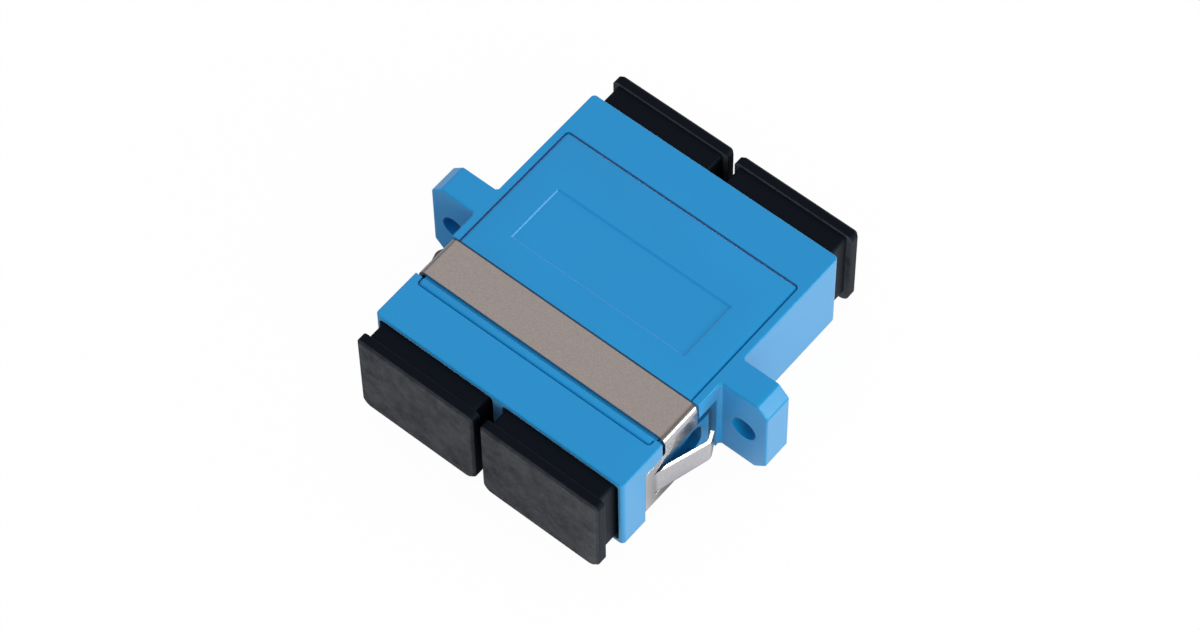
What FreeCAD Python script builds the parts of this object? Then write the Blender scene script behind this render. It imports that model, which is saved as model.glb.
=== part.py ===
import FreeCAD, Part
import Sketcher
import math
import os
import re

# Duplex SC fibre adapter with four dust caps, in millimetres.
# X runs from ear to ear, Y along the fibres (front at -Y), Z up. The part lies on the lower edges of
# its four caps at Z = 0, and the origin is under the middle of the panel ears.

SIZES = [
    # Housing
    ("body_width", 25.9, "moulding without its ears"),
    ("body_length", 27.9, "face to face along the fibres"),
    ("body_height", 9.4, "underside to top"),
    ("body_base", 0.6, "underside above the surface, carried by the caps"),
    ("body_corner", 0.4, "radius of the upright corners"),
    ("body_edge", 0.15, "radius round the top and underside"),
    ("ear_thickness", 2.9, "ear, centred on Y = 0"),
    ("ear_chamfer", 1.1, "cut off the outer corners of the ears"),
    ("ear_corner", 0.4, "radius at both ends of that cut"),
    ("ear_root", 0.2, "bevel where the ears meet the sides"),
    ("screw_spacing", 30.7, "between the two panel screw holes"),
    ("screw_bore", 2.5, "screw hole diameter"),
    ("screw_margin", 2.35, "ear beyond the middle of its screw hole"),
    ("port_pitch", 12.7, "between the two fibre axes"),
    ("port_width", 9.1, "inside each port"),
    ("key_width", 2.6, "keyway over each port"),
    ("key_depth", 0.5, "keyway over each port"),
    ("mouth_depth", 2.3, "wider entry in front of each port"),
    ("mouth_rib", 1.0, "rib between the two mouths"),
    ("mouth_side", 0.45, "outer wall beside a mouth"),
    ("mouth_lip", 0.45, "wall over and under a mouth"),
    ("mouth_corner", 0.4, "inner corner radius of a mouth"),
    # Cover plate welded into the top
    ("cover_rim", 0.8, "moulding left beside the plate"),
    ("cover_end", 4.35, "moulding left in front of and behind the plate"),
    ("cover_thickness", 0.95, "down to the top of the ports, as thick as the floor"),
    ("cover_corner", 0.3, "corner radius of the plate"),
    ("cover_gap", 0.1, "seam all round the plate"),
    ("label_width", 18.3, "shallow label recess"),
    ("label_length", 6.15, "shallow label recess"),
    ("label_offset", 1.68, "recess centre behind the ears' middle"),
    ("label_depth", 0.25, "shallow label recess"),
    ("label_slope", 0.5, "run of the slopes in front of and behind the recess"),
    # Panel clip folded from one strip
    ("sheet", 0.3, "strip thickness"),
    ("sheet_gap", 0.04, "between the strip and its seat"),
    ("bend", 0.5, "inner bend radius at the shoulders"),
    ("band_front", 8.5, "front edge of the band, ahead of the ears"),
    ("band_rear", 4.4, "rear edge of the band"),
    ("channel_slack", 0.4, "channel beyond the band's front edge"),
    ("channel_play", 0.15, "channel beyond the band's rear edge"),
    ("leg_front", 11.05, "front edge of the legs"),
    ("leg_low", 1.6, "lower edge of the legs above the underside"),
    ("leg_high", 7.35, "shoulder of the legs above the underside"),
    ("leg_fillet", 0.3, "inner corner between band and leg"),
    ("window_low", 2.7, "lower edge of the lanced window"),
    ("window_high", 6.8, "upper edge of the lanced window"),
    ("window_corner", 8.6, "where the window starts to narrow"),
    ("slit_end", 9.9, "front end of both slits"),
    ("slit_width", 0.12, "upper slit at its end"),
    ("tongue_low", 2.95, "lower edge of the tongue at its root"),
    ("tongue_high", 5.85, "upper edge of the tongue"),
    ("tongue_taper", 0.47, "lower edge of the tongue rises by this towards its tip"),
    ("tongue_root", 9.62, "where the tongue bends outwards"),
    ("tongue_reach", 1.61, "knee beyond the side of the housing"),
    ("knee_place", 4.65, "knee ahead of the ears' middle"),
    ("knee_bend", 0.5, "inner bend radius at the knee"),
    ("root_bend", 0.9, "inner bend radius at the root"),
    ("tab_end", 3.63, "tip of the return tab"),
    ("tab_rise", 0.51, "return tab comes back inwards by this"),
    ("tab_corner", 0.6, "lower corner radius of the return tab"),
    # Side recesses that take the legs
    ("saddle_depth", 0.65, "saddle's ends below the side of the housing"),
    ("recess_depth", 1.25, "recess below the side of the housing"),
    ("recess_rear", 1.95, "rear wall of the recess"),
    ("recess_high", 7.4, "top of the recess above the underside"),
    ("boss_gap", 0.05, "between the boss and the leg that it backs"),
    ("boss_front", 10.4, "front end of the boss"),
    ("boss_rear", 2.54, "rear end of the boss"),
    ("boss_low", 0.95, "underside of the boss"),
    ("boss_high", 5.65, "top of the boss"),
    ("scoop_front", 9.4, "hollow in the boss behind the tongue"),
    ("scoop_rear", 3.5, "hollow in the boss"),
    ("scoop_low", 2.5, "hollow in the boss"),
    ("scoop_high", 5.45, "hollow in the boss"),
    ("scoop_corner", 0.9, "corner radius of the hollow"),
    # Dust caps
    ("cap_reach", 2.8, "front cap beyond the face of the housing"),
    ("rear_slack", 0.4, "rear caps stand out further by this"),
    ("flange_width", 12.3, "flange across"),
    ("flange_height", 9.75, "flange from the surface up"),
    ("flange_thickness", 1.0, "flange along the fibre"),
    ("flange_shoulder", 0.55, "upper corner radius of the flange"),
    ("flange_foot", 1.1, "lower corner radius of the flange"),
    ("flange_edge", 0.25, "bevel round the outer face of the flange"),
    ("neck_width", 11.2, "neck in the mouth"),
    ("neck_gap", 0.06, "neck above and below, in the mouth"),
    ("neck_corner", 0.3, "neck corner radius"),
    ("neck_stop", 0.1, "neck end before the foot of the mouth"),
    ("plug_side", 0.25, "between the plug and the side of the port"),
    ("plug_gap", 0.2, "between the plug and the top of the port"),
    ("plug_corner", 0.5, "plug corner radius"),
    ("plug_wall", 0.6, "wall of the hollow plug"),
    ("plug_end", 4.0, "inner end of the plug from the middle"),
    ("cap_floor", 1.2, "closed end of the cap"),
    # Latch hook mouldings, two per port
    ("hook_fit", 0.05, "base plate inside the port"),
    ("hook_joint", 0.05, "half the joint between two base plates"),
    ("plate_thickness", 1.5, "base plate"),
    ("holder_radius", 2.3, "outside of the sleeve holder"),
    ("holder_length", 6.8, "tip of the holder from the middle"),
    ("holder_lip", 0.9, "lip that keeps the sleeve in"),
    ("holder_entry", 1.45, "radius of the hole in the lip"),
    ("arm_inside", 2.65, "inner face of an arm from the fibre axis"),
    ("arm_thickness", 0.8, "latch arm"),
    ("arm_height", 3.2, "latch arm"),
    ("arm_length", 10.4, "tip of the arm from the middle"),
    ("nose_height", 0.55, "latch nose towards the fibre"),
    ("nose_length", 1.3, "latch nose"),
    # Split alignment sleeves
    ("sleeve_length", 11.4, "sleeve"),
    ("sleeve_outer", 1.6, "outer radius"),
    ("sleeve_bore", 1.25, "bore radius, for a 2.5 mm ferrule"),
    ("sleeve_slot", 0.5, "slot along the sleeve"),
    ("sleeve_play", 0.04, "sleeve in its holder"),
]

doc = FreeCAD.newDocument("fibre_adapter")
sheet = doc.addObject("Spreadsheet::Sheet", "sizes")
for row, (alias, size, meaning) in enumerate(SIZES, 1):
    sheet.set(f"A{row}", alias)
    sheet.set(f"B{row}", str(size))
    sheet.set(f"C{row}", meaning)
    sheet.setAlias(f"B{row}", alias)
doc.recompute()

ALIASES = {alias for alias, size, meaning in SIZES}

# Places that several pieces share, as expressions over the sheet
half_width = "(body_width / 2)"
half_length = "(body_length / 2)"
underside = "body_base"
top = "(body_base + body_height)"
axis_z = "(body_base + body_height / 2)"
axis_x = "(port_pitch / 2)"
cover_seat = f"({top} - cover_thickness)"
cover_width = "(body_width - 2 * cover_rim)"
cover_length = "(body_length - 2 * cover_end)"
port_height = "(body_height - 2 * cover_thickness)"
ear_tip = "(screw_spacing / 2 + screw_margin)"
channel_floor = f"({top} - sheet - sheet_gap)"
channel_front = "(band_front + channel_slack)"
channel_rear = "(band_rear - channel_play)"
saddle_side = f"({half_width} - saddle_depth)"
recess_floor = f"({half_width} - recess_depth)"
boss_face = f"({half_width} - sheet - boss_gap)"
cap_x = f"((mouth_rib / 2 + {half_width} - mouth_side) / 2)"
neck_height = "(body_height - 2 * mouth_lip - 2 * neck_gap)"
plug_width = "(port_width - 2 * plug_side)"
plug_height = f"({port_height} - 2 * plug_gap)"
mouth_foot = f"({half_length} - mouth_depth)"
sleeve_seat = "(sleeve_outer + sleeve_play)"

PLANES = {"XY": "XY_Plane", "XZ": "XZ_Plane", "YZ": "YZ_Plane"}
ENDS = {"front": -1, "rear": 1}
SIDES = {"left": -1, "right": 1}


def bind(text):
    """An expression in which each size points at its cell."""
    return re.sub(r"[a-z_]+", lambda m: "sizes." + m[0] if m[0] in ALIASES else m[0], text)


def number(text):
    """What an expression comes to now."""
    result = sheet.evalExpression(bind(text))
    return float(getattr(result, "Value", result))


def signed(sign, text):
    """The same length to the other side."""
    return text if sign > 0 else f"(-{text})"


def span(sign, near, far):
    """Low and high end of a stretch that lies between two distances on one side."""
    return (near, far) if sign > 0 else (f"(-{far})", f"(-{near})")


def new_body(name):
    """An empty body whose label is the node's name."""
    body = doc.addObject("PartDesign::Body", name)
    body.Label = name
    return body


def rectangle(left, right, low, high, radius=None):
    """Corners of a rectangle, rounded where a radius is given."""
    corners = [(left, low), (right, low), (right, high), (left, high)]
    return [corner + (radius,) for corner in corners]


def centred(x, z, width, height, radius=None):
    """Corners of a rectangle about a centre."""
    return rectangle(f"{x} - {width} / 2", f"{x} + {width} / 2",
                     f"{z} - {height} / 2", f"{z} + {height} / 2", radius)


def pin_point(sketch, geometry, position, u, v):
    """Ties a sketch point to two expressions."""
    for kind, text in (("DistanceX", u), ("DistanceY", v)):
        index = sketch.addConstraint(
            Sketcher.Constraint(kind, -1, 1, geometry, position, number(text)))
        sketch.setExpression(f"Constraints[{index}]", bind(text))


def draw_circle(sketch, u, v, radius):
    """A full circle bound to its centre and radius."""
    centre = FreeCAD.Vector(number(u), number(v), 0)
    circle = Part.Circle(centre, FreeCAD.Vector(0, 0, 1), number(radius))
    geometry = sketch.addGeometry(circle, False)
    pin_point(sketch, geometry, 3, u, v)
    index = sketch.addConstraint(Sketcher.Constraint("Radius", geometry, number(radius)))
    sketch.setExpression(f"Constraints[{index}]", bind(radius))


def corner_arc(before, corner, after, radius):
    """Tangent points and arc of a rounded corner, and whether the arc runs with the outline."""
    to_before = (before - corner).normalize()
    to_after = (after - corner).normalize()
    half_angle = to_before.getAngle(to_after) / 2
    reach = radius / math.tan(half_angle)
    start = corner + to_before * reach
    finish = corner + to_after * reach
    centre = corner + (to_before + to_after).normalize() * (radius / math.sin(half_angle))
    forwards = to_before.cross(to_after).z < 0
    first, last = (start, finish) if forwards else (finish, start)
    angles = [math.atan2(p.y - centre.y, p.x - centre.x) for p in (first, last)]
    if angles[1] < angles[0]:
        angles[1] += 2 * math.pi
    circle = Part.Circle(centre, FreeCAD.Vector(0, 0, 1), radius)
    return start, finish, Part.ArcOfCircle(circle, *angles), forwards


def draw_outline(sketch, corners):
    """A closed outline of straight edges through bound corners, with rounded ones as arcs."""
    points = [FreeCAD.Vector(number(c[0]), number(c[1]), 0) for c in corners]
    radii = [c[2] if len(c) > 2 else None for c in corners]
    count = len(points)
    starts, finishes, arcs = {}, {}, {}
    for i in range(count):
        starts[i] = finishes[i] = points[i]
        if radii[i]:
            starts[i], finishes[i], arc, forwards = corner_arc(
                points[i - 1], points[i], points[(i + 1) % count], number(radii[i]))
            arcs[i] = (arc, forwards)
    edges = [sketch.addGeometry(Part.LineSegment(finishes[i], starts[(i + 1) % count]), False)
             for i in range(count)]
    for i in range(count):
        before, after = edges[i - 1], edges[i]
        if i not in arcs:
            sketch.addConstraint(Sketcher.Constraint("Coincident", before, 2, after, 1))
            pin_point(sketch, after, 1, corners[i][0], corners[i][1])
            continue
        arc, forwards = arcs[i]
        curve = sketch.addGeometry(arc, False)
        first, last = (1, 2) if forwards else (2, 1)
        sketch.addConstraint(Sketcher.Constraint("Tangent", before, 2, curve, first))
        sketch.addConstraint(Sketcher.Constraint("Tangent", curve, last, after, 1))
        index = sketch.addConstraint(Sketcher.Constraint("Radius", curve, number(radii[i])))
        sketch.setExpression(f"Constraints[{index}]", bind(radii[i]))
        mark = sketch.addGeometry(Part.Point(points[i]), True)
        sketch.addConstraint(Sketcher.Constraint("PointOnObject", mark, 1, before))
        sketch.addConstraint(Sketcher.Constraint("PointOnObject", mark, 1, after))
        pin_point(sketch, mark, 1, corners[i][0], corners[i][1])


def extrude(body, kind, name, plane, low, high, outlines):
    """Pads or pockets outlines between two places along the plane's normal axis."""
    sketch = body.newObject("Sketcher::SketchObject", f"{name}_sketch")
    role = PLANES[plane]
    support = next(f for f in body.Origin.OriginFeatures if f.Role == role)
    sketch.AttachmentSupport = [(support, "")]
    sketch.MapMode = "FlatFace"
    # The XZ plane's normal is -Y, so its sketch stands at the high end
    offset = f"-({high})" if plane == "XZ" else low
    sketch.setExpression("AttachmentOffset.Base.z", bind(offset))
    for outline in outlines:
        if isinstance(outline, dict):
            draw_circle(sketch, outline["u"], outline["v"], outline["radius"])
        else:
            draw_outline(sketch, outline)
    feature = body.newObject(f"PartDesign::{kind}", name)
    feature.Profile = sketch
    feature.Reversed = kind == "Pocket"
    feature.setExpression("Length", bind(f"({high}) - ({low})"))
    before = body.Shape.Volume if kind == "Pocket" else 0
    doc.recompute()
    if kind == "Pocket" and body.Shape.Volume > before - 1e-6:
        raise RuntimeError(f"{name} cuts nothing")
    return feature


def ease(body, kind, name, size, wanted):
    """Rounds or bevels the edges of the body that a test picks."""
    base = body.Tip
    picked = [f"Edge{i}" for i, edge in enumerate(base.Shape.Edges, 1) if wanted(edge)]
    feature = body.newObject(f"PartDesign::{kind}", name)
    feature.Base = (base, picked)
    feature.setExpression("Radius" if kind == "Fillet" else "Size", bind(size))
    doc.recompute()
    return feature


def lies_at(edge, axis, places):
    """Whether an edge lies in one of the planes across an axis."""
    box = edge.BoundBox
    low, high = (getattr(box, axis + end) for end in ("Min", "Max"))
    return high - low < 1e-4 and any(abs(low - number(place)) < 1e-4 for place in places)


def make_housing():
    """One moulding: shell, ears, stepped ports, cover seat and the seats of the panel clip."""
    body = new_body("housing")
    extrude(body, "Pad", "shell", "XY", underside, top, [
        rectangle(f"-{half_width}", half_width, f"-{half_length}", half_length, "body_corner")])
    low_cut, high_cut = f"{underside} + ear_chamfer", f"{top} - ear_chamfer"
    shoulder = f"({ear_tip} - ear_chamfer)"
    extrude(body, "Pad", "ears", "XZ", "-ear_thickness / 2", "ear_thickness / 2", [[
        (f"-{shoulder}", underside, "ear_corner"), (shoulder, underside, "ear_corner"),
        (ear_tip, low_cut, "ear_corner"), (ear_tip, high_cut, "ear_corner"),
        (shoulder, top, "ear_corner"), (f"-{shoulder}", top, "ear_corner"),
        (f"-{ear_tip}", high_cut, "ear_corner"), (f"-{ear_tip}", low_cut, "ear_corner")]])
    ease(body, "Chamfer", "ear_roots", "ear_root",
         lambda edge: lies_at(edge, "X", [f"-{half_width}", half_width])
         and lies_at(edge, "Y", ["-ear_thickness / 2", "ear_thickness / 2"]))
    ease(body, "Fillet", "soft_edges", "body_edge",
         lambda edge: lies_at(edge, "Z", [underside, top]))

    port_centres = [signed(side, axis_x) for side in SIDES.values()]
    extrude(body, "Pocket", "ports", "XZ", f"-{half_length}", half_length, [
        centred(x, axis_z, "port_width", port_height) for x in port_centres])
    port_top = f"({axis_z} + {port_height} / 2)"
    for end, sign in ENDS.items():
        low, high = span(sign, mouth_foot, half_length)
        mouth = []
        for side in SIDES.values():
            left, right = span(side, "mouth_rib / 2", f"({half_width} - mouth_side)")
            mouth.append(rectangle(left, right, f"{underside} + mouth_lip", f"{top} - mouth_lip",
                                   "mouth_corner"))
        extrude(body, "Pocket", f"{end}_mouths", "XZ", low, high, mouth)
        low, high = span(sign, f"({cover_length} / 2)", mouth_foot)
        extrude(body, "Pocket", f"{end}_keyways", "XZ", low, high, [
            rectangle(f"{x} - key_width / 2", f"{x} + key_width / 2", port_top,
                      f"{port_top} + key_depth") for x in port_centres])
    extrude(body, "Pocket", "cover_seat", "XY", cover_seat, top, [
        centred("0", "0", f"({cover_width} + 2 * cover_gap)", f"({cover_length} + 2 * cover_gap)",
                "cover_corner + cover_gap")])
    extrude(body, "Pocket", "screw_holes", "XZ", "-ear_thickness / 2", "ear_thickness / 2", [
        {"u": signed(side, "(screw_spacing / 2)"), "v": axis_z, "radius": "screw_bore / 2"}
        for side in SIDES.values()])

    # Seats of the panel clip: a saddle over the top, and a recess with a boss on each side
    saddle_foot = f"({underside} + recess_high)"
    extrude(body, "Pocket", "saddle", "XZ", f"-{channel_front}", f"-{channel_rear}", [[
        (f"-{half_width}", saddle_foot), (f"-{saddle_side}", saddle_foot),
        (f"-{saddle_side}", channel_floor, "bend"), (saddle_side, channel_floor, "bend"),
        (saddle_side, saddle_foot), (half_width, saddle_foot),
        (half_width, top), (f"-{half_width}", top)]])
    for name, side in SIDES.items():
        low, high = span(side, recess_floor, half_width)
        extrude(body, "Pocket", f"{name}_recess", "YZ", low, high, [
            rectangle("-leg_front - sheet_gap", "-recess_rear", underside, saddle_foot)])
        low, high = span(side, recess_floor, boss_face)
        extrude(body, "Pad", f"{name}_boss", "YZ", low, high, [
            rectangle("-boss_front", "-boss_rear", f"{underside} + boss_low",
                      f"{underside} + boss_high")])
        extrude(body, "Pocket", f"{name}_scoop", "YZ", low, high, [
            rectangle("-scoop_front", "-scoop_rear", f"{underside} + scoop_low",
                      f"{underside} + scoop_high", "scoop_corner")])
    return body


def make_cover():
    """Plate that closes the top, with a label recess and the clip's channel."""
    body = new_body("cover_plate")
    extrude(body, "Pad", "plate", "XY", cover_seat, top, [
        centred("0", "0", cover_width, cover_length, "cover_corner")])
    front, rear = "(label_offset - label_length / 2)", "(label_offset + label_length / 2)"
    extrude(body, "Pocket", "label_recess", "YZ", "-label_width / 2", "label_width / 2", [[
        (front, top), (f"{front} + label_slope", f"{top} - label_depth"),
        (f"{rear} - label_slope", f"{top} - label_depth"), (rear, top)]])
    extrude(body, "Pocket", "clip_channel", "YZ", f"-{cover_width} / 2", f"{cover_width} / 2", [
        rectangle(f"-{channel_front}", f"-{channel_rear}", channel_floor, top)])
    return body


def tongue_outline(side):
    """Plan of a lanced tongue: root, outward slope, knee and return tab, one strip thick."""
    root_y, knee_y, tab_y = "(-tongue_root)", "(-knee_place)", "(-tab_end)"
    slope = "atan(tongue_reach / (tongue_root - knee_place))"
    turn = "atan(tab_rise / (knee_place - tab_end))"
    outside = half_width
    knee_x = f"({outside} + tongue_reach)"
    tab_x = f"({knee_x} - tab_rise)"
    spread = f"(1 + cos({slope} + {turn}))"
    inner_knee_x = f"({knee_x} - sheet * (cos({slope}) + cos({turn})) / {spread})"
    inner_knee_y = f"({knee_y} + sheet * (sin({slope}) - sin({turn})) / {spread})"
    start_y = f"({root_y} - sheet)"
    corners = [
        (outside, start_y), (outside, root_y, "root_bend"),
        (knee_x, knee_y, "knee_bend + sheet"), (tab_x, tab_y),
        (f"({tab_x} - sheet * cos({turn}))", f"({tab_y} - sheet * sin({turn}))"),
        (inner_knee_x, inner_knee_y, "knee_bend"),
        (f"({outside} - sheet)", f"({root_y} + sheet * tan({slope} / 2))", "root_bend + sheet"),
        (f"({outside} - sheet)", start_y)]
    return [(signed(side, corner[0]),) + corner[1:] for corner in corners]


def make_clip():
    """One folded strip: band over the top, two legs and a sprung tongue lanced from each."""
    body = new_body("panel_clip")
    leg_foot = f"({underside} + leg_low)"
    inside = f"({half_width} - sheet)"
    extrude(body, "Pad", "strip", "XZ", "-leg_front", "-band_rear", [[
        (f"-{half_width}", leg_foot), (f"-{inside}", leg_foot),
        (f"-{inside}", f"{top} - sheet", "bend"), (inside, f"{top} - sheet", "bend"),
        (inside, leg_foot), (half_width, leg_foot), (half_width, top, "bend + sheet"),
        (f"-{half_width}", top, "bend + sheet")]])
    extrude(body, "Pocket", "shoulders", "YZ", f"-{half_width}", half_width, [[
        ("-leg_front", f"{underside} + leg_high"),
        ("-band_front", f"{underside} + leg_high", "leg_fillet"),
        ("-band_front", top), ("-leg_front", top)]])
    slit_floor, slit_roof = f"{underside} + tongue_high", f"{underside} + window_high"
    extrude(body, "Pocket", "windows", "YZ", f"-{half_width}", half_width, [[
        ("-band_rear", f"{underside} + window_low"), ("-band_rear", slit_roof),
        ("-window_corner", slit_roof), ("-slit_end", f"{slit_floor} + slit_width"),
        ("-slit_end", slit_floor), ("-tongue_root", slit_floor),
        ("-tongue_root", f"{underside} + tongue_low"), ("-slit_end", f"{underside} + tongue_low"),
        ("-slit_end", f"{underside} + window_low")]])
    for name, side in SIDES.items():
        extrude(body, "Pad", f"{name}_tongue", "XY", f"{underside} + tongue_low", slit_floor, [
            tongue_outline(side)])
    # The cut under a tongue reaches past its tip, so that its corner leaves only the arc
    low_root, low_tip = f"({underside} + tongue_low)", f"({underside} + tongue_low + tongue_taper)"
    beyond, above = "(sheet - tab_end)", f"({low_tip} + tab_corner + sheet)"
    extrude(body, "Pocket", "tapers", "YZ", f"-({half_width} + tongue_reach)",
            f"{half_width} + tongue_reach", [[
                ("-tongue_root", low_root), ("-tab_end", low_tip, "tab_corner"),
                ("-tab_end", above), (beyond, above), (beyond, f"{low_root} - slit_width"),
                ("-tongue_root", f"{low_root} - slit_width")]])
    return body


def make_cap(end, side_name):
    """Dust cap: flange, neck in the mouth and a hollow plug that passes round the hooks."""
    sign, side = ENDS[end], SIDES[side_name]
    body = new_body(f"{end}_{side_name}_cap")
    prefix = f"{end}_{side_name}"
    x, plug_x = signed(side, cap_x), signed(side, axis_x)
    slack = "0" if end == "front" else "rear_slack"
    face = f"({half_length} + cap_reach + {slack})"
    rim = f"({face} - flange_thickness)"
    neck_foot = f"({mouth_foot} + neck_stop + {slack})"
    plug_tip = f"(plug_end + {slack})"
    low, high = span(sign, rim, face)
    left, right = f"{x} - flange_width / 2", f"{x} + flange_width / 2"
    extrude(body, "Pad", f"{prefix}_flange", "XZ", low, high, [[
        (left, "0", "flange_foot"), (right, "0", "flange_foot"),
        (right, "flange_height", "flange_shoulder"), (left, "flange_height", "flange_shoulder")]])
    ease(body, "Chamfer", f"{prefix}_edge", "flange_edge",
         lambda edge: lies_at(edge, "Y", [signed(sign, face)]))
    low, high = span(sign, neck_foot, rim)
    extrude(body, "Pad", f"{prefix}_neck", "XZ", low, high, [
        centred(x, axis_z, "neck_width", neck_height, "neck_corner")])
    low, high = span(sign, plug_tip, neck_foot)
    extrude(body, "Pad", f"{prefix}_plug", "XZ", low, high, [
        centred(plug_x, axis_z, plug_width, plug_height, "plug_corner")])
    low, high = span(sign, plug_tip, f"({face} - cap_floor)")
    extrude(body, "Pocket", f"{prefix}_hollow", "XZ", low, high, [
        centred(plug_x, axis_z, f"({plug_width} - 2 * plug_wall)",
                f"({plug_height} - 2 * plug_wall)")])
    return body


def make_hook(end, side_name):
    """Latch hook moulding: base plate, half of the sleeve holder and two arms with noses."""
    sign, side = ENDS[end], SIDES[side_name]
    body = new_body(f"{end}_{side_name}_hook")
    prefix = f"{end}_{side_name}"
    x = signed(side, axis_x)
    plate_top = "(hook_joint + plate_thickness)"
    low, high = span(sign, "hook_joint", plate_top)
    extrude(body, "Pad", f"{prefix}_base", "XZ", low, high, [
        centred(x, axis_z, "(port_width - 2 * hook_fit)", f"({port_height} - 2 * hook_fit)")])
    low, high = span(sign, plate_top, "holder_length")
    extrude(body, "Pad", f"{prefix}_holder", "XZ", low, high, [
        {"u": x, "v": axis_z, "radius": "holder_radius"}])
    low, high = span(sign, plate_top, "arm_length")
    arm_outside = "arm_inside + arm_thickness"
    arms = [(f"{x} + arm_inside", f"{x} + {arm_outside}"),
            (f"{x} - ({arm_outside})", f"{x} - arm_inside")]
    extrude(body, "Pad", f"{prefix}_arms", "XZ", low, high, [
        rectangle(left, right, f"{axis_z} - arm_height / 2", f"{axis_z} + arm_height / 2")
        for left, right in arms])
    tip, throat = signed(sign, "arm_length"), signed(sign, "(arm_length - nose_length)")
    crest = signed(sign, "(arm_length - nose_length * 2 / 3)")
    noses = []
    for direction in ("+", "-"):
        inner = f"{x} {direction} arm_inside"
        peak = f"{x} {direction} (arm_inside - nose_height)"
        noses.append([(inner, tip), (peak, crest), (peak, throat), (inner, throat)])
    extrude(body, "Pad", f"{prefix}_noses", "XY", f"{axis_z} - arm_height / 2",
            f"{axis_z} + arm_height / 2", noses)
    low, high = span(sign, "hook_joint", "(holder_length - holder_lip)")
    extrude(body, "Pocket", f"{prefix}_seat", "XZ", low, high, [
        {"u": x, "v": axis_z, "radius": sleeve_seat}])
    low, high = span(sign, "(holder_length - holder_lip)", "holder_length")
    extrude(body, "Pocket", f"{prefix}_entry", "XZ", low, high, [
        {"u": x, "v": axis_z, "radius": "holder_entry"}])
    return body


def make_sleeve(side_name):
    """Split sleeve that lines up the two ferrules, slot upwards."""
    body = new_body(f"{side_name}_sleeve")
    x = signed(SIDES[side_name], axis_x)
    end = "(sleeve_length / 2)"
    extrude(body, "Pad", f"{side_name}_tube", "XZ", f"-{end}", end, [
        {"u": x, "v": axis_z, "radius": "sleeve_outer"},
        {"u": x, "v": axis_z, "radius": "sleeve_bore"}])
    extrude(body, "Pocket", f"{side_name}_slot", "XZ", f"-{end}", end, [
        rectangle(f"{x} - sleeve_slot / 2", f"{x} + sleeve_slot / 2", axis_z,
                  f"{axis_z} + sleeve_outer")])
    return body


pieces = [make_housing(), make_cover(), make_clip()]
for side_name in SIDES:
    pieces.append(make_sleeve(side_name))
    for end in ENDS:
        pieces.append(make_hook(end, side_name))
        pieces.append(make_cap(end, side_name))
doc.recompute()

for item in doc.Objects:
    if "Invalid" in item.State or "Error" in item.State:
        raise RuntimeError(f"{item.Label} failed: {item.State}")
for piece in pieces:
    if piece.Shape.isNull() or not piece.Shape.isValid() or len(piece.Shape.Solids) != 1:
        raise RuntimeError(f"{piece.Label} isn't one valid solid")

os.makedirs("parts", exist_ok=True)
for piece in pieces:
    piece.Shape.exportStep(f"parts/{piece.Label}.step")
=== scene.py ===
import math

import bpy
from mathutils import Matrix, Vector


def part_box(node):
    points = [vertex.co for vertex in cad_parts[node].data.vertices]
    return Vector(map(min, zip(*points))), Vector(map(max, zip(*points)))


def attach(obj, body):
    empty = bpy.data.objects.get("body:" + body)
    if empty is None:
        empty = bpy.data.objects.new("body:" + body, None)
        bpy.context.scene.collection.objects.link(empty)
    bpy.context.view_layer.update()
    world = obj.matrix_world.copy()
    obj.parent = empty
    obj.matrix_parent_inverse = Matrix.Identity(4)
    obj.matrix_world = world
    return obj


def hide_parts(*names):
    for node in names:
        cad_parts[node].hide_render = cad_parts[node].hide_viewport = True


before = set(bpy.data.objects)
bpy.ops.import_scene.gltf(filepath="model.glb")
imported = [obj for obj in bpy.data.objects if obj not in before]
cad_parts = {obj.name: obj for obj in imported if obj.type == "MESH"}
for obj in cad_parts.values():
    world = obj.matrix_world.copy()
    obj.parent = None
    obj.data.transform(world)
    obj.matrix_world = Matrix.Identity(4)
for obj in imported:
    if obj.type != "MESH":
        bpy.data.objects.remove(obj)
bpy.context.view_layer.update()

bl_info = {
    "name": "Fibre Adapter Finishes",
    "version": (1, 0, 0),
    "blender": (4, 5, 0),
    "location": "3D View > Sidebar > Adapter",
    "description": "Finishes a duplex fibre adapter with dust caps and sets its studio",
    "category": "Object",
}

MM = 0.001
SIDES = ("left", "right")
ENDS = ("front", "rear")
WHITE = (1, 1, 1, 1)

# Real sizes of the patterns. The strip's grain and the ceramic's grinding marks are finer than
# this on the real pieces, and are drawn as coarse as they need to show
FLOW_MOTTLE = 7 * MM
STRIP_GRAIN = 0.12 * MM
# Patches of the caps' scuffs, over their painted sheen
SCUFF_AND_SHEEN_PATCH = 1.6 * MM
GRINDING_MARKS = 0.2 * MM

# How far each plastic and the steel look for the walls whose shade is painted into their colour
BLUE_REACH = 2.8 * MM
STEEL_REACH = 0.8 * MM
CAP_REACH = 1.2 * MM

SEAM_FOOT, SEAM_HEAD = 8.9 * MM, 9.1 * MM  # heights between which the seams in the top begin
LEG_FACE, TONGUE_CLEAR = 12.97 * MM, 13.05 * MM  # |X|, past which only the tongues lie
CAP_SHINE = "#A8C8FF"  # the caps shine a little blue
TINTED = {"data_type": "RGBA", "blend_type": "MULTIPLY", "Factor": 1.0}  # colour times a grey

# Lamps by name: place, side of the square and colour
LAMPS = {
    "key": ((0.53, 0.235, 0.14), 0.12, "#FFFFF0"),
    "side": ((0.55, -0.16, 0.22), 0.4, "#F6FFDC"),
    "top": ((-0.34, 0.4, 0.85), 1.2, "#FFEEE0"),
}

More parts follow.
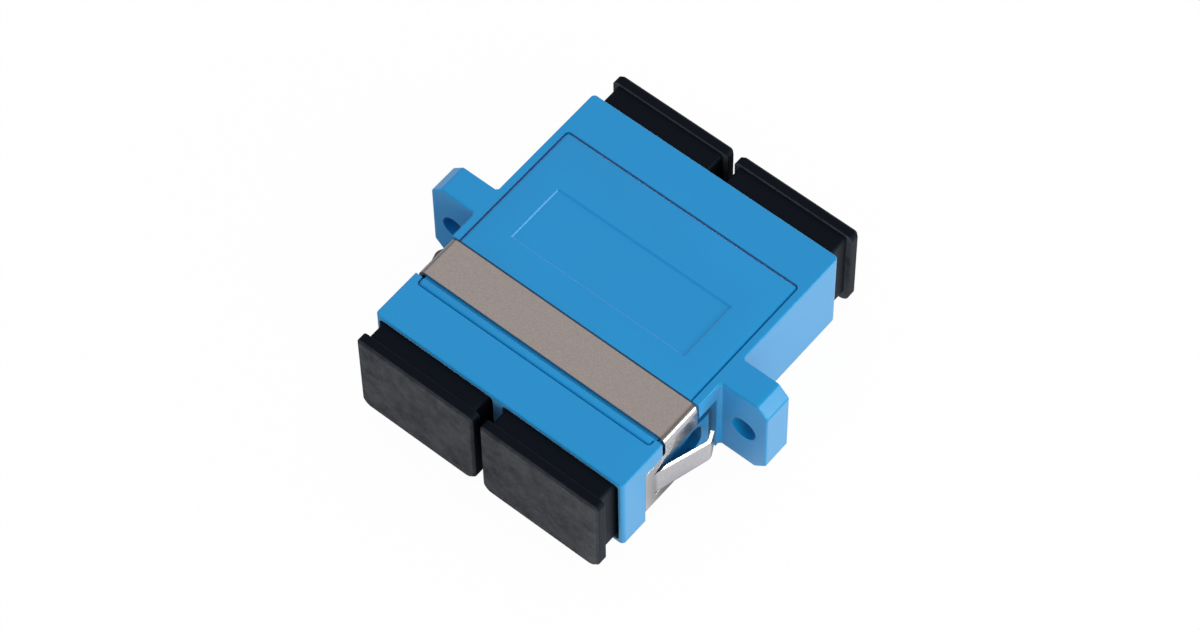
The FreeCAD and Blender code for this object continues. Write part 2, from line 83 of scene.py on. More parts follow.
# What shiny faces mirror on the right of the room, by the height of the ray: the white
# background low down, a warm grey wall above it and a darker ceiling behind the top softbox
MIRRORED = ((0.0, "#FFFFFF"), (0.2, "#FFFFFF"), (0.4, "#8A827B"), (0.8, "#8A827B"),
            (0.9, "#645D54"), (1.0, "#645D54"))
MIRRORED_LEFT = "#8A817B"  # the wall on the left
ROOM_MIDDLE = (-0.1, 0.4)  # X of the ray, over which the left wall gives way to the right

# How white the paper is to the camera, and the painted light and shade that a mirror sees on it,
# by X and strength
PAPER_SEEN = 0.97
PAPER_RIGHT = ((10 * MM, 0.0), (12.5 * MM, 1.0))
PAPER_LEFT = ((-30 * MM, 0.5), (-20 * MM, 0.1))
FLOOR_SIDE = 3.0

# A painted shadow on the paper under the right tongue of the clip, seen in mirrors: an oval with a
# soft rim
SHADOW_PLACE = (13.6 * MM, -4.8 * MM)
SHADOW_HALF = (2.2 * MM, 4.2 * MM)
SHADOW_RIM = (0.7, 1.3)
SHADOW_DARK = 0.32


def linear(hex_colour):
    """Turns an sRGB hex colour into the linear one that the shaders take."""
    channels = [int(hex_colour[i:i + 2], 16) / 255 for i in (1, 3, 5)]
    return tuple(c / 12.92 if c <= 0.04045 else ((c + 0.055) / 1.055) ** 2.4 for c in channels)


def rgba(colour):
    """A colour with full alpha."""
    return (*colour[:3], 1.0)


def add_node(tree, kind, settings=None, links=None):
    """Adds a node, sets its sockets or properties and links sockets to it."""
    node = tree.nodes.new(kind)
    for key, value in (settings or {}).items():
        if isinstance(key, int) or key in node.inputs:
            node.inputs[key].default_value = value
        else:
            setattr(node, key, value)
    for key, source in (links or {}).items():
        tree.links.new(source, node.inputs[key])
    return node


def new_material(name):
    """An empty material with its output and its own position on the piece."""
    material = bpy.data.materials.new(name)
    material.use_nodes = True
    tree = material.node_tree
    tree.nodes.clear()
    output = add_node(tree, "ShaderNodeOutputMaterial")
    place = add_node(tree, "ShaderNodeTexCoord").outputs["Object"]
    return material, tree, output, place


def painted_gap_shade(tree, place, reach, darkest):
    """Painted shade: 1 on open faces, falling low in narrow gaps that light hardly enters."""
    open_sky = add_node(tree, "ShaderNodeAmbientOcclusion", {"samples": 8, "Distance": reach})
    # The hairline seams in the top are dark enough by their own shadow
    height = add_node(tree, "ShaderNodeSeparateXYZ", links={"Vector": place})
    low = add_node(tree, "ShaderNodeMapRange", {"From Min": SEAM_FOOT, "From Max": SEAM_HEAD,
                                                "To Min": darkest, "To Max": 0.9},
                   {"Value": height.outputs["Z"]})
    shade = add_node(tree, "ShaderNodeMapRange", {"From Min": 0.08, "From Max": 0.55},
                     {"Value": open_sky.outputs["AO"], "To Min": low.outputs["Result"]})
    return shade.outputs["Result"]


class BlueProps(bpy.types.PropertyGroup):
    """Moulded blue plastic of the housing, its cover and the latch hooks"""
    colour: bpy.props.FloatVectorProperty(
        name="Blue", description="Colour of the moulded plastic", default=linear("#008DD2"),
        size=3, min=0, max=1, subtype="COLOR")
    # Painted shade: the colour that grooves and holes go over to
    painted_shade_colour: bpy.props.FloatVectorProperty(
        name="Deep Blue", description="Colour down in grooves and holes",
        default=linear("#2A5078"), size=3, min=0, max=1, subtype="COLOR")
    roughness: bpy.props.FloatProperty(
        name="Roughness", description="0 is polished, 1 is chalky", default=0.35, min=0, max=1,
        subtype="FACTOR")
    grain: bpy.props.FloatProperty(
        name="Grain", description="Width of the moulded grain", default=0.12 * MM, min=0.02 * MM,
        max=1 * MM, unit="LENGTH")
    edge: bpy.props.FloatProperty(
        name="Edge", description="Radius of the moulded edges", default=0.03 * MM, min=0,
        max=1 * MM, unit="LENGTH")


class CoverProps(bpy.types.PropertyGroup):
    """Sizes of the cover plate"""
    corner: bpy.props.FloatProperty(
        name="Corner", description="Radius of the plate's corners", default=0.3 * MM, min=0,
        unit="LENGTH")
    channel_front: bpy.props.FloatProperty(
        name="Channel Front", description="Front wall of the clip's channel", default=-8.9 * MM,
        unit="LENGTH")
    channel_rear: bpy.props.FloatProperty(
        name="Channel Rear", description="Rear wall of the clip's channel", default=-4.25 * MM,
        unit="LENGTH")
    channel_depth: bpy.props.FloatProperty(
        name="Channel Depth", description="Channel below the top", default=0.34 * MM, min=0,
        unit="LENGTH")
    label_width: bpy.props.FloatProperty(
        name="Label Width", description="Label recess from side to side", default=18.3 * MM,
        min=0, unit="LENGTH")
    label_length: bpy.props.FloatProperty(
        name="Label Length", description="Label recess from front to rear", default=6.15 * MM,
        min=0, unit="LENGTH")
    label_place: bpy.props.FloatProperty(
        name="Label Place", description="Middle of the recess behind the ears' middle",
        default=1.68 * MM, unit="LENGTH")
    label_depth: bpy.props.FloatProperty(
        name="Label Depth", description="Recess below the top", default=0.13 * MM, min=0,
        unit="LENGTH")
    label_slope: bpy.props.FloatProperty(
        name="Label Slope", description="Run of the recess's front and rear walls",
        default=0.17 * MM, min=0, unit="LENGTH")
    label_steep: bpy.props.FloatProperty(
        name="Label Steep", description="Run of the recess's steeper side walls",
        default=0.12 * MM, min=0, unit="LENGTH")


class SteelProps(bpy.types.PropertyGroup):
    """Rolled spring strip of the panel clip"""
    colour: bpy.props.FloatVectorProperty(
        name="Steel", description="Colour of the bare strip", default=linear("#BBBBC0"),
        size=3, min=0, max=1, subtype="COLOR")
    roughness: bpy.props.FloatProperty(
        name="Roughness", description="0 is polished, 1 is blasted", default=0.25, min=0, max=1,
        subtype="FACTOR")
    streak: bpy.props.FloatProperty(
        name="Streak", description="Width of a rolling mark", default=0.06 * MM, min=0.01 * MM,
        max=1 * MM, unit="LENGTH")
    edge: bpy.props.FloatProperty(
        name="Edge", description="Radius of the tumbled sheet edges", default=0.12 * MM, min=0,
        max=1 * MM, unit="LENGTH")


class CapProps(bpy.types.PropertyGroup):
    """Matt black polyethylene of the dust caps"""
    colour: bpy.props.FloatVectorProperty(
        name="Black", description="Colour of the smooth faces", default=linear("#090C12"),
        size=3, min=0, max=1, subtype="COLOR")
    # The end faces' colour: a painted sheen, broken up by scuffs
    scuff_and_sheen_colour: bpy.props.FloatVectorProperty(
        name="Scuffed", description="Colour of the scuffed end faces",
        default=linear("#505157"), size=3, min=0, max=1, subtype="COLOR")
    roughness: bpy.props.FloatProperty(
        name="Roughness", description="0 is polished, 1 is chalky", default=0.6, min=0, max=1,
        subtype="FACTOR")
    grain: bpy.props.FloatProperty(
        name="Grain", description="Width of the spark-eroded grain", default=0.16 * MM,
        min=0.02 * MM, max=1 * MM, unit="LENGTH")
    edge: bpy.props.FloatProperty(
        name="Edge", description="Radius of the worn edges", default=0.18 * MM, min=0,
        max=1 * MM, unit="LENGTH")


class CeramicProps(bpy.types.PropertyGroup):
    """Ground zirconia of the split sleeves"""
    colour: bpy.props.FloatVectorProperty(
        name="White", description="Colour of the ceramic", default=linear("#F2F0EA"),
        size=3, min=0, max=1, subtype="COLOR")
    roughness: bpy.props.FloatProperty(
        name="Roughness", description="0 is polished, 1 is chalky", default=0.22, min=0, max=1,
        subtype="FACTOR")


class StageProps(bpy.types.PropertyGroup):
    """Camera, lamps and floor"""
    target: bpy.props.FloatVectorProperty(
        name="Target", description="Point that the camera looks at",
        default=(-0.84374 * MM, -0.04043 * MM, 4.6 * MM), size=3, unit="LENGTH")
    distance: bpy.props.FloatProperty(
        name="Distance", description="From the camera to its target", default=370.62 * MM,
        min=0.05, max=5, unit="LENGTH")
    azimuth: bpy.props.FloatProperty(
        name="Azimuth", description="Camera's bearing from +X towards +Y",
        default=-0.865720, subtype="ANGLE")
    elevation: bpy.props.FloatProperty(
        name="Elevation", description="Camera above the horizon", default=1.010925,
        subtype="ANGLE")
    roll: bpy.props.FloatProperty(
        name="Roll", description="Turn of the picture about the line of sight",
        default=-0.020170, subtype="ANGLE")
    lens: bpy.props.FloatProperty(
        name="Lens", description="Focal length on a 36 mm sensor", default=135.0, min=10,
        max=500, unit="CAMERA")
    floor: bpy.props.FloatVectorProperty(
        name="Floor", description="Colour of the sweep", default=linear("#F4F4F4"), size=3,
        min=0, max=1, subtype="COLOR")
    fill: bpy.props.FloatProperty(
        name="Fill", description="Even light from all round", default=0.72, min=0, max=5)
    key: bpy.props.FloatProperty(
        name="Key", description="Low softbox at the right rear", default=0.85, min=0, max=50,
        unit="POWER")
    side: bpy.props.FloatProperty(
        name="Side", description="Softbox at the right front", default=1.5, min=0, max=50,
        unit="POWER")
    top: bpy.props.FloatProperty(
        name="Top", description="Wide softbox overhead", default=1.75, min=0, max=50, unit="POWER")


def blue_plastic(props, name):
    """Moulded PBT: satin, with a fine grain and a faint mottle where the melt flowed."""
    # To the eye it is an even clear blue, with painted shade making it darker down in grooves and
    # holes. The sheen is the pale bloom on the faces that are seen at a low angle
    material, tree, output, place = new_material(name)
    flow = add_node(tree, "ShaderNodeTexNoise", {"Scale": 1 / FLOW_MOTTLE, "Detail": 2.0},
                    {"Vector": place}).outputs["Fac"]
    tint = add_node(tree, "ShaderNodeMapRange", {"To Min": 0.965, "To Max": 1.035},
                    {"Value": flow})
    open_colour = add_node(tree, "ShaderNodeMix", {**TINTED, 6: rgba(props.colour)},
                           {7: tint.outputs["Result"]})
    # Painted shade: the blue goes over to a greyish navy in grooves, holes and narrow gaps
    shade = add_node(tree, "ShaderNodeMix", {"data_type": "RGBA", 6: rgba(props.painted_shade_colour)},
                     {0: painted_gap_shade(tree, place, BLUE_REACH, 0.1), 7: open_colour.outputs[2]})
    gloss = add_node(tree, "ShaderNodeMapRange", {"To Min": props.roughness - 0.04,
                                                  "To Max": props.roughness + 0.04},
                     {"Value": flow})
    grain = add_node(tree, "ShaderNodeTexNoise", {"Scale": 1 / props.grain, "Detail": 3.0},
                     {"Vector": place})
    edges = add_node(tree, "ShaderNodeBevel", {"samples": 6, "Radius": props.edge})
    bump = add_node(tree, "ShaderNodeBump", {"Strength": 0.12, "Distance": 0.02 * MM},
                    {"Height": grain.outputs["Fac"], "Normal": edges.outputs["Normal"]})
    shader = add_node(tree, "ShaderNodeBsdfPrincipled",
                      {"IOR": 1.5, "Specular IOR Level": 0.36, "Sheen Weight": 0.8,
                       "Sheen Roughness": 0.3},
                      {"Base Color": shade.outputs[2], "Roughness": gloss.outputs["Result"],
                       "Normal": bump.outputs["Normal"]})
    tree.links.new(shader.outputs["BSDF"], output.inputs["Surface"])
    return material


def rolled_over_edges(tree, place, normal):
    """Normal of the strip, whose sheared upper edges on the sprung tongues lean outwards."""
    across = add_node(tree, "ShaderNodeSeparateXYZ", links={"Vector": place}).outputs["X"]
    facing = add_node(tree, "ShaderNodeSeparateXYZ", links={"Vector": normal})
    beyond = add_node(tree, "ShaderNodeMath", {"operation": "ABSOLUTE"}, {0: across})
    side = add_node(tree, "ShaderNodeMath", {"operation": "SIGN"}, {0: across})
    tongue = add_node(tree, "ShaderNodeMapRange", {"From Min": LEG_FACE,
                                                   "From Max": TONGUE_CLEAR},
                      {"Value": beyond.outputs["Value"]})
    upwards = add_node(tree, "ShaderNodeMapRange", {"From Min": 0.95, "From Max": 1.0},
                       {"Value": facing.outputs["Z"]})
    share = add_node(tree, "ShaderNodeMath", {"operation": "MULTIPLY"},
                     {0: tongue.outputs["Result"], 1: upwards.outputs["Result"]})
    lean = add_node(tree, "ShaderNodeMath", {"operation": "MULTIPLY"},
                    {0: share.outputs["Value"], 1: side.outputs["Value"]})
    outwards = add_node(tree, "ShaderNodeCombineXYZ", links={"X": lean.outputs["Value"]})
    leaning = add_node(tree, "ShaderNodeVectorMath", {"operation": "ADD"},
                       {0: outwards.outputs["Vector"], 1: normal})
    return add_node(tree, "ShaderNodeVectorMath", {"operation": "NORMALIZE"},
                    {0: leaning.outputs["Vector"]}).outputs["Vector"]


def spring_steel(props):
    """Rolled stainless strip: bare metal, satin, with a fine grain and faint rolling marks."""
    # To the eye it is a warm grey on top, where it mirrors the room, and nearly white on the
    # folds, edges and faces that mirror the lamps and the paper
    material, tree, output, place = new_material("rolled_stainless_strip")
    # A rolling mark is 25 times as long as it is wide
    along = add_node(tree, "ShaderNodeMapping", {"Scale": (0.04, 1.0, 1.0)}, {"Vector": place})
    marks = add_node(tree, "ShaderNodeTexNoise", {"Scale": 1 / props.streak, "Detail": 3.0},
                     {"Vector": along.outputs["Vector"]}).outputs["Fac"]
    speckle = add_node(tree, "ShaderNodeTexNoise", {"Scale": 1 / STRIP_GRAIN, "Detail": 3.0},
                       {"Vector": place})
    tint = add_node(tree, "ShaderNodeMapRange", {"To Min": 0.74, "To Max": 1.22},
                    {"Value": speckle.outputs["Fac"]})
    grained = add_node(tree, "ShaderNodeMix", {**TINTED, 6: rgba(props.colour)},
                       {7: tint.outputs["Result"]})
    # Painted shade: the strip darkens in its slits and narrow gaps
    shade = add_node(tree, "ShaderNodeMix", TINTED, {
        6: grained.outputs[2], 7: painted_gap_shade(tree, place, STEEL_REACH, 0.3)})
    gloss = add_node(tree, "ShaderNodeMapRange", {"To Min": props.roughness - 0.06,
                                                  "To Max": props.roughness + 0.06},
                     {"Value": marks})
    edges = add_node(tree, "ShaderNodeBevel", {"samples": 6, "Radius": props.edge})
    leaning = rolled_over_edges(tree, place, edges.outputs["Normal"])
    bump = add_node(tree, "ShaderNodeBump", {"Strength": 0.05, "Distance": 0.01 * MM},
                    {"Height": marks, "Normal": leaning})
    shader = add_node(tree, "ShaderNodeBsdfPrincipled", {"Metallic": 1.0},
                      {"Base Color": shade.outputs[2], "Roughness": gloss.outputs["Result"],
                       "Normal": bump.outputs["Normal"]})
    tree.links.new(shader.outputs["BSDF"], output.inputs["Surface"])
    return material


def black_polyethylene(props):
    """Moulded soft black plastic: smooth and blue-black, its ends charcoal with scuffs and painted
    sheen.
    """
    # To the eye the tops are near black with a cold shine, and the ends a mottled dark grey
    material, tree, output, place = new_material("matt_black_polyethylene")
    edges = add_node(tree, "ShaderNodeBevel", {"samples": 6, "Radius": props.edge})
    facing = add_node(tree, "ShaderNodeSeparateXYZ", links={"Vector": edges.outputs["Normal"]})
    endwards = add_node(tree, "ShaderNodeMath", {"operation": "ABSOLUTE"},
                        {0: facing.outputs["Y"]})
    # Painted sheen: faces turned to the front or rear get the lighter colour
    face = add_node(tree, "ShaderNodeMapRange", {"From Min": 0.5, "From Max": 0.98},
                    {"Value": endwards.outputs["Value"]})
    mottle = add_node(tree, "ShaderNodeTexNoise", {"Scale": 1 / SCUFF_AND_SHEEN_PATCH, "Detail": 6.0,
                                                   "Roughness": 0.75}, {"Vector": place})
    # Scuffs: a mottle breaks the painted sheen into patches
    patch = add_node(tree, "ShaderNodeMapRange", {"From Min": 0.3, "From Max": 0.7,
                                                  "To Min": 0.4, "To Max": 1.2},
                     {"Value": mottle.outputs["Fac"]})
    sheen_patches = add_node(tree, "ShaderNodeMath", {"operation": "MULTIPLY"},
                     {0: face.outputs["Result"], 1: patch.outputs["Result"]})
    # Painted shade: the sheen fades out in narrow gaps
    sheen_out_of_gaps = add_node(tree, "ShaderNodeMath", {"operation": "MULTIPLY"},
                        {0: sheen_patches.outputs["Value"], 1: painted_gap_shade(tree, place, CAP_REACH, 0.1)})
    shade = add_node(tree, "ShaderNodeMix", {"data_type": "RGBA", 6: rgba(props.colour),
                                             7: rgba(props.scuff_and_sheen_colour)},
                     {0: sheen_out_of_gaps.outputs["Value"]})
    grain = add_node(tree, "ShaderNodeTexNoise", {"Scale": 1 / props.grain, "Detail": 4.0},
                     {"Vector": place})
    bump = add_node(tree, "ShaderNodeBump", {"Strength": 0.35, "Distance": 0.02 * MM},
                    {"Height": grain.outputs["Fac"], "Normal": edges.outputs["Normal"]})
    shader = add_node(tree, "ShaderNodeBsdfPrincipled",
                      {"Roughness": props.roughness, "IOR": 1.5, "Specular IOR Level": 0.2,
                       "Specular Tint": rgba(linear(CAP_SHINE))},
                      {"Base Color": shade.outputs[2], "Normal": bump.outputs["Normal"]})
    tree.links.new(shader.outputs["BSDF"], output.inputs["Surface"])
    return material


def white_zirconia(props):
    """Ground ceramic: dense and smooth, with faint marks of the wheel."""
    # To the eye it is a glossy warm white
    material, tree, output, place = new_material("ground_white_zirconia")
    ground = add_node(tree, "ShaderNodeTexNoise", {"Scale": 1 / GRINDING_MARKS, "Detail": 2.0},
                      {"Vector": place})
    gloss = add_node(tree, "ShaderNodeMapRange", {"To Min": props.roughness - 0.05,
                                                  "To Max": props.roughness + 0.05},
                     {"Value": ground.outputs["Fac"]})
    shader = add_node(tree, "ShaderNodeBsdfPrincipled",
                      {"Base Color": rgba(props.colour), "IOR": 2.1},
                      {"Roughness": gloss.outputs["Result"]})
    tree.links.new(shader.outputs["BSDF"], output.inputs["Surface"])
    return material


def finish_node(node, material):
    """Gives a CAD node one material in place of its own."""
    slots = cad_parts[node].data.materials
    slots.clear()
    slots.append(material)


def add_block(low, high):
    """A block between two corners, with its place in its mesh."""
    centre = [(a + b) / 2 for a, b in zip(low, high)]
    bpy.ops.object.select_all(action="DESELECT")
    bpy.ops.mesh.primitive_cube_add(size=1, location=centre,
                                    scale=[b - a for a, b in zip(low, high)])
    bpy.ops.object.transform_apply(location=True, rotation=True, scale=True)
    return bpy.context.active_object


def pick_edges(piece, wanted):
    """Selects the edges that a test on their two ends picks, in edit mode."""
    for vertex in piece.data.vertices:
        vertex.select = False
    for face in piece.data.polygons:
        face.select = False
    for edge in piece.data.edges:
        ends = [piece.data.vertices[i].co for i in edge.vertices]
        edge.select = wanted(*ends)
    bpy.ops.object.mode_set(mode="EDIT")
    bpy.ops.mesh.select_mode(type="EDGE")


def cut_away(piece, cutter):
    """Cuts one piece out of another and throws the cutter away."""
    cut = piece.modifiers.new("cut", "BOOLEAN")
    cut.object = cutter
    cut.operation = "DIFFERENCE"
    cut.solver = "EXACT"
    bpy.context.view_layer.objects.active = piece
    bpy.ops.object.modifier_apply(modifier=cut.name)
    bpy.data.objects.remove(cutter)


def make_cover(props):
    """Cover plate with the clip's channel and a label recess that has sloping walls."""
    low, high = (Vector(corner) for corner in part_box("cover_plate"))
    cover = add_block(low, high)
    cover.name = "cover"
    pick_edges(cover, lambda a, b: abs(a.z - b.z) > 0.1 * MM)  # the four upright ones
    bpy.ops.mesh.bevel(offset=props.corner, segments=4, affect="EDGES")
    bpy.ops.object.mode_set(mode="OBJECT")
    channel = add_block((low.x - MM, props.channel_front, high.z - props.channel_depth),
                        (high.x + MM, props.channel_rear, high.z + MM))
    cut_away(cover, channel)
    half_x, half_y = props.label_width / 2, props.label_length / 2
    run_x, run_y, depth = props.label_steep, props.label_slope, props.label_depth
    label = add_block((-half_x - run_x, props.label_place - half_y - run_y, high.z - depth),
                      (half_x + run_x, props.label_place + half_y + run_y, high.z + depth))
    pick_edges(label, lambda a, b: max(a.z, b.z) < high.z)  # those round its floor
    bpy.ops.transform.resize(value=((half_x - run_x) / (half_x + run_x),
                                    (half_y - run_y) / (half_y + run_y), 1),
                             center_override=(0, props.label_place, high.z - depth))
    bpy.ops.object.mode_set(mode="OBJECT")
    cut_away(cover, label)
    bpy.ops.object.select_all(action="DESELECT")
    cover.select_set(True)
    bpy.ops.object.shade_smooth_by_angle(angle=math.radians(30))
    return cover


class ADAPTER_OT_housing(bpy.types.Operator):
    """Finish the housing in moulded blue and make its cover plate"""
    bl_idname = "adapter.housing"
    bl_label = "Housing and Cover"

    def execute(self, context):
        material = blue_plastic(context.scene.adapter_blue, "satin_blue_pbt")
        finish_node("housing", material)
        cover = make_cover(context.scene.adapter_cover)
        cover.data.materials.append(material)
        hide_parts("cover_plate")
        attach(cover, "adapter")
        return {"FINISHED"}


class ADAPTER_OT_clip(bpy.types.Operator):
    """Finish the panel clip in rolled spring steel"""
    bl_idname = "adapter.clip"
    bl_label = "Panel Clip"

    def execute(self, context):
        finish_node("panel_clip", spring_steel(context.scene.adapter_steel))
        return {"FINISHED"}


class ADAPTER_OT_caps(bpy.types.Operator):
    """Finish the four dust caps in matt black"""
    bl_idname = "adapter.caps"
    bl_label = "Dust Caps"

    def execute(self, context):
        material = black_polyethylene(context.scene.adapter_cap)
        for end in ENDS:
            for side in SIDES:
                finish_node(f"{end}_{side}_cap", material)
        return {"FINISHED"}


class ADAPTER_OT_inside(bpy.types.Operator):
    """Finish the latch hooks and the split sleeves"""
    bl_idname = "adapter.inside"
    bl_label = "Hooks and Sleeves"

    def execute(self, context):
        hooks = blue_plastic(context.scene.adapter_blue, "satin_blue_hooks")
        ceramic = white_zirconia(context.scene.adapter_ceramic)
        for side in SIDES:
            finish_node(f"{side}_sleeve", ceramic)
            for end in ENDS:
                finish_node(f"{end}_{side}_hook", hooks)
        return {"FINISHED"}


def place_camera(scene, props):
    """Camera where the photograph was taken from, found from the object's corners."""
    azimuth, elevation = props.azimuth, props.elevation
    outwards = Vector((math.cos(azimuth) * math.cos(elevation),
                       math.sin(azimuth) * math.cos(elevation), math.sin(elevation)))
    place = Vector(props.target) + outwards * props.distance
    right = (-outwards).cross(Vector((0, 0, 1))).normalized()
    up = right.cross(-outwards)
    turned_right = right * math.cos(props.roll) + up * math.sin(props.roll)
    turned_up = up * math.cos(props.roll) - right * math.sin(props.roll)
    turn = Matrix((turned_right, turned_up, outwards)).transposed().to_4x4()
    data = bpy.data.cameras.new("camera")
    data.sensor_width = 36
    data.lens = props.lens
    data.clip_start = 0.01
    data.clip_end = 10
    camera = bpy.data.objects.new("camera", data)
    camera.matrix_world = Matrix.Translation(place) @ turn
    scene.collection.objects.link(camera)
    scene.camera = camera


def place_softbox(scene, name, place, size, power, colour):
    """Square area lamp aimed at the object."""
    data = bpy.data.lights.new(name, "AREA")
    data.shape = "SQUARE"
    data.size = size
    data.energy = power
    data.color = linear(colour)
    lamp = bpy.data.objects.new(name, data)
    lamp.location = place
    lamp.rotation_euler = (-Vector(place)).to_track_quat("-Z", "Y").to_euler()
    scene.collection.objects.link(lamp)


def background_rays(tree):
    """1 for the rays that see the white background: camera, glossy and transmission."""
    rays = add_node(tree, "ShaderNodeLightPath")
    some = add_node(tree, "ShaderNodeMath", {"operation": "MAXIMUM"},
                    {0: rays.outputs["Is Camera Ray"], 1: rays.outputs["Is Glossy Ray"]})
    every = add_node(tree, "ShaderNodeMath", {"operation": "MAXIMUM"},
                     {0: some.outputs["Value"], 1: rays.outputs["Is Transmission Ray"]})
    return every.outputs["Value"]


def mirrored_room(tree):
    """Background that shiny faces see, by the heading and the height of the ray."""
    ray = add_node(tree, "ShaderNodeSeparateXYZ", links={
        "Vector": add_node(tree, "ShaderNodeTexCoord").outputs["Generated"]})
    ramp = add_node(tree, "ShaderNodeValToRGB", links={"Fac": ray.outputs["Z"]})
    stops = ramp.color_ramp.elements
    while len(stops) < len(MIRRORED):
        stops.new(1.0)
    for stop, (place, colour) in zip(stops, MIRRORED):
        stop.position = place
        stop.color = rgba(linear(colour))
    right = add_node(tree, "ShaderNodeMapRange", {"From Min": ROOM_MIDDLE[0],
                                                  "From Max": ROOM_MIDDLE[1]},
                     {"Value": ray.outputs["X"]})
    room = add_node(tree, "ShaderNodeMix", {"data_type": "RGBA",
                                            6: rgba(linear(MIRRORED_LEFT))},
                    {0: right.outputs["Result"], 7: ramp.outputs["Color"]})
    return room.outputs[2]


def light_world(scene, fill):
    """Even fill, with a white background where it is seen or mirrored."""
    world = bpy.data.worlds.new("studio")
    scene.world = world
    world.use_nodes = True
    tree = world.node_tree
    tree.nodes.clear()
    output = add_node(tree, "ShaderNodeOutputWorld")
    soft = add_node(tree, "ShaderNodeBackground", {"Color": WHITE, "Strength": fill})
    rays = add_node(tree, "ShaderNodeLightPath")
    seen = add_node(tree, "ShaderNodeMix", {"data_type": "RGBA", 6: WHITE},
                    {0: rays.outputs["Is Glossy Ray"], 7: mirrored_room(tree)})
    white = add_node(tree, "ShaderNodeBackground", {"Strength": 1.0}, {"Color": seen.outputs[2]})
    mix = add_node(tree, "ShaderNodeMixShader", links={
        0: background_rays(tree), 1: soft.outputs["Background"], 2: white.outputs["Background"]})
    tree.links.new(mix.outputs["Shader"], output.inputs["Surface"])


def mirrored_paper(tree, place):
    """How bright the paper is in a shiny face, painted by place: white on the right, where the
    lamps stand, grey on the left, and a painted shadow under the clip's tongue."""
    across = add_node(tree, "ShaderNodeSeparateXYZ", links={"Vector": place}).outputs["X"]
    strips = []
    for (low_x, low), (high_x, high) in (PAPER_RIGHT, PAPER_LEFT):
        strip = add_node(tree, "ShaderNodeMapRange", {"From Min": low_x, "From Max": high_x,
                                                      "To Min": low, "To Max": high},
                         {"Value": across})
        strips.append(strip.outputs["Result"])
    sides = add_node(tree, "ShaderNodeMath", {"operation": "MAXIMUM"},
                     {0: strips[0], 1: strips[1]})
    to_oval = (1 / SHADOW_HALF[0], 1 / SHADOW_HALF[1], 0)
    oval = add_node(tree, "ShaderNodeVectorMath", {"operation": "MULTIPLY", 1: to_oval},
                    {0: place})
    middle = (SHADOW_PLACE[0] * to_oval[0], SHADOW_PLACE[1] * to_oval[1], 0)
    away = add_node(tree, "ShaderNodeVectorMath", {"operation": "DISTANCE", 1: middle},
                    {0: oval.outputs["Vector"]})
    shadow = add_node(tree, "ShaderNodeMapRange", {"From Min": SHADOW_RIM[0],
                                                   "From Max": SHADOW_RIM[1],
                                                   "To Min": SHADOW_DARK},
                      {"Value": away.outputs["Value"]})
    lit = add_node(tree, "ShaderNodeMath", {"operation": "MULTIPLY"},
                   {0: sides.outputs["Value"], 1: shadow.outputs["Result"]})
    return lit.outputs["Value"]


def floor_paper(colour):
    """White paper sweep, blown out to the background's white but for a little shadow."""
    material, tree, output, place = new_material("white_paper")
    paper = add_node(tree, "ShaderNodeBsdfDiffuse", {"Color": rgba(colour)})
    mirrored = add_node(tree, "ShaderNodeLightPath").outputs["Is Glossy Ray"]
    # In a mirror the paper's brightness is painted light and shade, by place
    glow = add_node(tree, "ShaderNodeMix", {2: 1.0},
                    {0: mirrored, 3: mirrored_paper(tree, place)})
    white = add_node(tree, "ShaderNodeEmission", {"Color": WHITE}, {"Strength": glow.outputs[0]})
    share = add_node(tree, "ShaderNodeMix", {2: PAPER_SEEN, 3: 1.0}, {0: mirrored})
    seen = add_node(tree, "ShaderNodeMath", {"operation": "MULTIPLY"},
                    {0: background_rays(tree), 1: share.outputs[0]})
    mix = add_node(tree, "ShaderNodeMixShader", links={
        0: seen.outputs["Value"], 1: paper.outputs["BSDF"], 2: white.outputs["Emission"]})
    tree.links.new(mix.outputs["Shader"], output.inputs["Surface"])
    return material


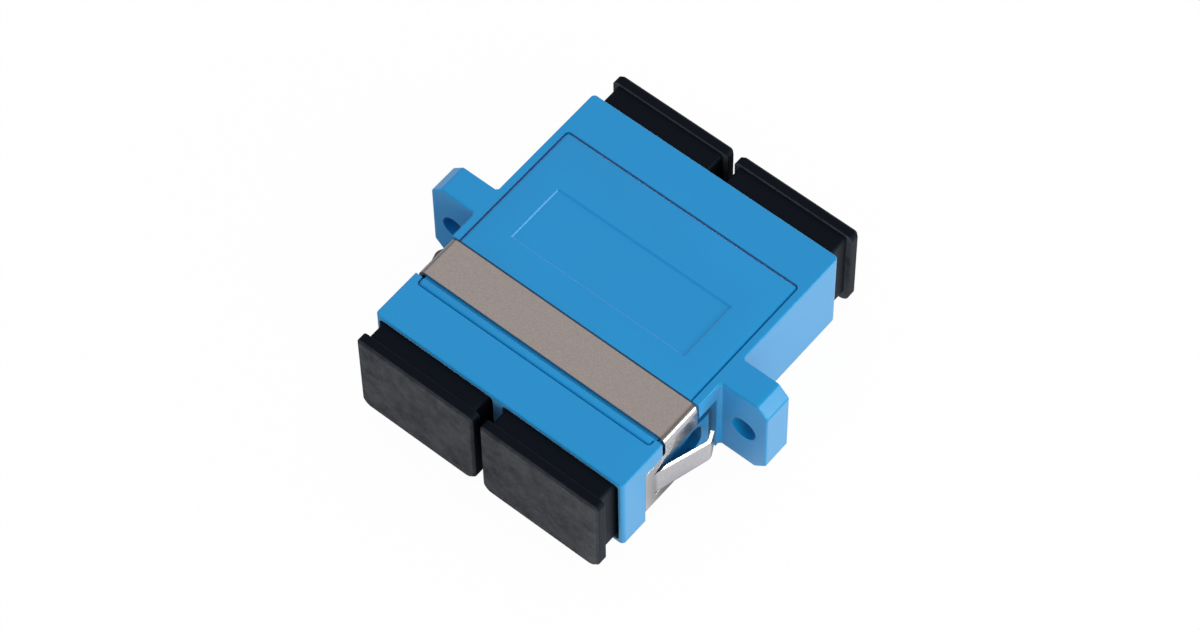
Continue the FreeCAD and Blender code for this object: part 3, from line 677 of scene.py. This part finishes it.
class ADAPTER_OT_stage(bpy.types.Operator):
    """Set the floor, the lamps, the background and the camera"""
    bl_idname = "adapter.stage"
    bl_label = "Stage"

    def execute(self, context):
        scene, props = context.scene, context.scene.adapter_stage
        bpy.ops.object.select_all(action="DESELECT")
        bpy.ops.mesh.primitive_plane_add(size=FLOOR_SIDE, location=(0, 0, 0))
        floor = context.active_object
        floor.name = "floor"
        floor.data.materials.append(floor_paper(props.floor))
        for name, (place, size, colour) in LAMPS.items():
            place_softbox(scene, name, place, size, getattr(props, name), colour)
        light_world(scene, props.fill)
        place_camera(scene, props)
        scene.view_settings.view_transform = "Standard"
        return {"FINISHED"}


class ADAPTER_PT_panel(bpy.types.Panel):
    """Lists the finishes, the stage and their settings"""
    bl_idname = "ADAPTER_PT_panel"
    bl_label = "Fibre Adapter"
    bl_space_type = "VIEW_3D"
    bl_region_type = "UI"
    bl_category = "Adapter"

    def draw(self, context):
        for operator, groups in BOXES:
            box = self.layout.box()
            for group in groups:
                settings = getattr(context.scene, group)
                for key in settings.__annotations__:
                    box.prop(settings, key)
            box.operator(operator)


GROUPS = {"adapter_blue": BlueProps, "adapter_cover": CoverProps, "adapter_steel": SteelProps,
          "adapter_cap": CapProps, "adapter_ceramic": CeramicProps, "adapter_stage": StageProps}
BOXES = (("adapter.housing", ("adapter_blue", "adapter_cover")),
         ("adapter.clip", ("adapter_steel",)), ("adapter.caps", ("adapter_cap",)),
         ("adapter.inside", ("adapter_ceramic",)), ("adapter.stage", ("adapter_stage",)))
OPERATORS = (ADAPTER_OT_housing, ADAPTER_OT_clip, ADAPTER_OT_caps, ADAPTER_OT_inside,
             ADAPTER_OT_stage)


def register():
    for key, group in GROUPS.items():
        bpy.utils.register_class(group)
        setattr(bpy.types.Scene, key, bpy.props.PointerProperty(type=group))
    for cls in (*OPERATORS, ADAPTER_PT_panel):
        bpy.utils.register_class(cls)


def unregister():
    for cls in (ADAPTER_PT_panel, *reversed(OPERATORS)):
        bpy.utils.unregister_class(cls)
    for key, group in GROUPS.items():
        delattr(bpy.types.Scene, key)
        bpy.utils.unregister_class(group)


def main():
    register()
    bpy.ops.adapter.housing()
    bpy.ops.adapter.clip()
    bpy.ops.adapter.caps()
    bpy.ops.adapter.inside()
    bpy.ops.adapter.stage()
    bpy.context.view_layer.update()


if __name__ == "__main__":
    main()
